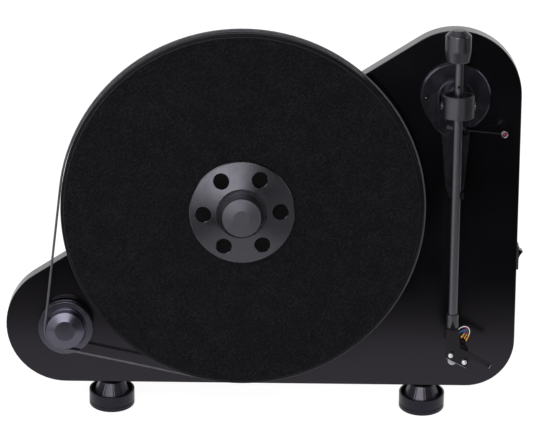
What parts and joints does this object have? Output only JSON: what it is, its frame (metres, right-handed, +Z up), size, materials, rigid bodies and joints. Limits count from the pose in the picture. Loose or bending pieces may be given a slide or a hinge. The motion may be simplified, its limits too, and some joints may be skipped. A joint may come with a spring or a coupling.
{
  "type": "vertical record player",
  "caption": "Upright belt-drive record player: a leaning teardrop board carries the platter, record clamp, pulley and straight tonearm on round feet.",
  "frame": {"origin": "centre of the bounding box on the surface that the feet stand on", "axes": "+Z up, the platter faces -Y and leans back by 9.3 degrees, +X to the right seen from the front"},
  "size_m": [0.4322, 0.208, 0.3457],
  "materials": {
    "board_lacquer": "satin black lacquered panel",
    "dark_anodised": "dark blue-grey anodised aluminium",
    "tube_metal": "bright grey anodised tube",
    "platter_body": "satin black platter",
    "felt": "charcoal felt",
    "steel": "machined steel",
    "bronze": "sintered bronze",
    "black_rubber": "black rubber",
    "black_plastic": "moulded black plastic",
    "gloss_black": "gloss black plastic",
    "outrigger_paint": "black powder coat",
    "circuit_green": "circuit board",
    "socket_brass": "gilded brass",
    "stylus_grey": "light grey plastic",
    "wire": "coloured wire insulation"
  },
  "bodies": {
    "chassis": {"board": "board_lacquer", "bearing_housing": "dark_anodised", "bearing_screws": "steel", "spindle_bushes": "bronze", "thrust_ball": "steel", "bearing_end_cap": "dark_anodised", "motor": "steel", "motor_grommets": "black_rubber", "motor_screws": "steel", "drive_belt": "black_rubber", "motor_cover": "black_plastic", "cover_screws": "steel", "control_board": "circuit_green", "power_inlet": "black_plastic", "socket_cover": "black_plastic", "phono_socket_left": "socket_brass", "phono_socket_right": "socket_brass", "ground_stud": "steel", "switch_housing": "black_plastic", "switch_cable": "black_rubber", "foot_studs": "steel", "outrigger": "outrigger_paint", "outrigger_screws": "steel", "arm_base": "dark_anodised", "arm_base_screws": "steel", "arm_pillar": "dark_anodised", "swing_bushes": "bronze", "arm_clip": "black_plastic", "signal_wires": "wire"},
    "turntable": {"spindle": "steel", "platter_hub": "dark_anodised", "hub_screws": "steel", "platter": "platter_body", "platter_mat": "felt"},
    "clamp": {"record_clamp": "dark_anodised", "clamp_knob": "dark_anodised"},
    "drive_pulley": {"pulley": "dark_anodised", "motor_shaft": "steel"},
    "arm_yoke": {"swing_post": "dark_anodised", "gimbal_ring": "dark_anodised", "pivot_screws": "steel"},
    "arm": {"arm_hub": "dark_anodised", "arm_tube": "tube_metal", "headshell": "dark_anodised", "cartridge": "gloss_black", "cartridge_screws": "steel", "stylus": "stylus_grey", "lead_clips": "bronze", "cartridge_leads": "wire"},
    "balance_weight": {"counterweight": "dark_anodised"},
    "cue_lever": {"lift_lever": "steel"},
    "cue_platform": {"lift_platform": "dark_anodised"},
    "switch_rocker": {"power_rocker": "gloss_black"},
    "left_foot": {"foot_left_cup": "black_plastic", "foot_left_cone": "gloss_black"},
    "right_foot": {"foot_right_cup": "black_plastic", "foot_right_cone": "gloss_black"},
    "rear_foot": {"foot_rear_cup": "black_plastic", "foot_rear_cone": "gloss_black"},
    "terminal_nut": {"ground_nut": "socket_brass"}
  },
  "joints": [
    {"name": "platter_spin", "type": "hinge", "parent": "chassis", "child": "turntable", "pos_m": [-0.019, -0.03652, 0.17959], "axis": [0, -0.9869, 0.1616], "continuous": true},
    {"name": "clamp_lift", "type": "slide", "parent": "turntable", "child": "clamp", "axis": [0, -0.9869, 0.1616], "range_m": [0, 0.04]},
    {"name": "pulley_spin", "type": "hinge", "parent": "chassis", "child": "drive_pulley", "pos_m": [-0.1657, -0.05379, 0.07409], "axis": [0, -0.9869, 0.1616], "continuous": true},
    {"name": "arm_swing", "type": "hinge", "parent": "chassis", "child": "arm_yoke", "pos_m": [0.156, -0.02088, 0.27511], "axis": [0, 0.9869, -0.1616], "range_deg": [0, 45]},
    {"name": "arm_tilt", "type": "hinge", "parent": "arm_yoke", "child": "arm", "pos_m": [0.156, -0.06528, 0.28239], "axis": [-1, 0, 0], "range_deg": [0, 12]},
    {"name": "counterweight_slide", "type": "slide", "parent": "arm", "child": "balance_weight", "axis": [0, 0.1616, 0.9869], "range_m": [-0.004, 0.006]},
    {"name": "lever_lift", "type": "hinge", "parent": "chassis", "child": "cue_lever", "pos_m": [0.165, -0.02921, 0.24527], "axis": [0, -0.1616, -0.9869], "range_deg": [0, 60]},
    {"name": "platform_lift", "type": "slide", "parent": "chassis", "child": "cue_platform", "axis": [0, -0.9869, 0.1616], "range_m": [0, 0.0018]},
    {"name": "rocker_tilt", "type": "hinge", "parent": "chassis", "child": "switch_rocker", "pos_m": [0.2108, -0.03496, 0.13343], "axis": [0, -0.9869, 0.1616], "range_deg": [0, 40]},
    {"name": "left_foot_turn", "type": "hinge", "parent": "chassis", "child": "left_foot", "pos_m": [-0.1279, -0.05306, 0], "axis": [0, 0, 1], "continuous": true},
    {"name": "right_foot_turn", "type": "hinge", "parent": "chassis", "child": "right_foot", "pos_m": [0.1345, -0.05306, 0], "axis": [0, 0, 1], "continuous": true},
    {"name": "rear_foot_turn", "type": "hinge", "parent": "chassis", "child": "rear_foot", "pos_m": [0.0033, 0.08494, 0], "axis": [0, 0, 1], "continuous": true},
    {"name": "nut_turn", "type": "hinge", "parent": "chassis", "child": "terminal_nut", "pos_m": [0.156, 0.01692, 0.23366], "axis": [0, -0.9869, 0.1616], "continuous": true}
  ],
  "couplings": [
    {"joint": "pulley_spin", "follows": "platter_spin", "ratio": 8.8222},
    {"joint": "platform_lift", "follows": "lever_lift", "m_per_rad": 0.0017189}
  ]
}
